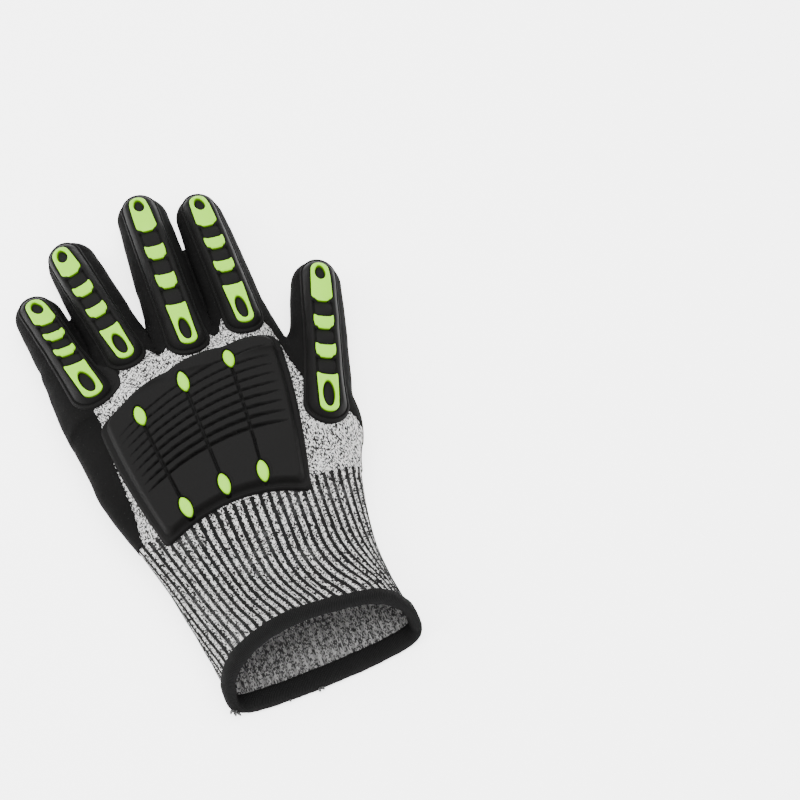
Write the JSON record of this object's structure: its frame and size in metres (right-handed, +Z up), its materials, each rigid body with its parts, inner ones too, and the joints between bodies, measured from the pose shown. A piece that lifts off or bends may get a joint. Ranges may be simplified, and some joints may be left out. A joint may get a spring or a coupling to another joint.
{
  "type": "impact glove, left hand",
  "caption": "Left-hand knitted work glove with a dipped palm, a ribbed cuff and black rubber impact guards with lime inlays on the back and fingers.",
  "frame": {"origin": "on the resting face, under the middle of the palm", "axes": "+Z up through the back of the hand, +Y to the fingertips, +X to the thumb"},
  "size_m": [0.1508, 0.2631, 0.0343],
  "materials": {
    "heather_knit": "fine jersey knit of white, grey and black yarns",
    "sandy_dip": "matt sandy dipped coating",
    "striped_rib": "ribbed knit with black and heather stripes",
    "black_binding": "rolled overlocked tape",
    "guard_rubber": "satin moulded rubber",
    "lime_rubber": "satin moulded rubber"
  },
  "bodies": {
    "root": {"knit_back": "heather_knit", "dipped_palm": "sandy_dip", "little_stall": "sandy_dip", "ring_stall": "sandy_dip", "middle_stall": "sandy_dip", "index_stall": "sandy_dip", "thumb_stall": "sandy_dip", "rib_cuff": "striped_rib", "cuff_binding": "black_binding", "knuckle_guard": "guard_rubber", "knuckle_dot_1": "lime_rubber", "knuckle_dot_2": "lime_rubber", "knuckle_dot_3": "lime_rubber", "knuckle_dot_4": "lime_rubber", "knuckle_dot_5": "lime_rubber", "knuckle_dot_6": "lime_rubber", "little_guard": "guard_rubber", "little_tip_inlay": "lime_rubber", "little_mid_inlay_1": "lime_rubber", "little_mid_inlay_2": "lime_rubber", "little_base_inlay": "lime_rubber", "ring_guard": "guard_rubber", "ring_tip_inlay": "lime_rubber", "ring_mid_inlay_1": "lime_rubber", "ring_mid_inlay_2": "lime_rubber", "ring_base_inlay": "lime_rubber", "middle_guard": "guard_rubber", "middle_tip_inlay": "lime_rubber", "middle_mid_inlay_1": "lime_rubber", "middle_mid_inlay_2": "lime_rubber", "middle_base_inlay": "lime_rubber", "index_guard": "guard_rubber", "index_tip_inlay": "lime_rubber", "index_mid_inlay_1": "lime_rubber", "index_mid_inlay_2": "lime_rubber", "index_base_inlay": "lime_rubber", "thumb_guard": "guard_rubber", "thumb_tip_inlay": "lime_rubber", "thumb_mid_inlay_1": "lime_rubber", "thumb_mid_inlay_2": "lime_rubber", "thumb_base_inlay": "lime_rubber"}
  },
  "joints": []
}
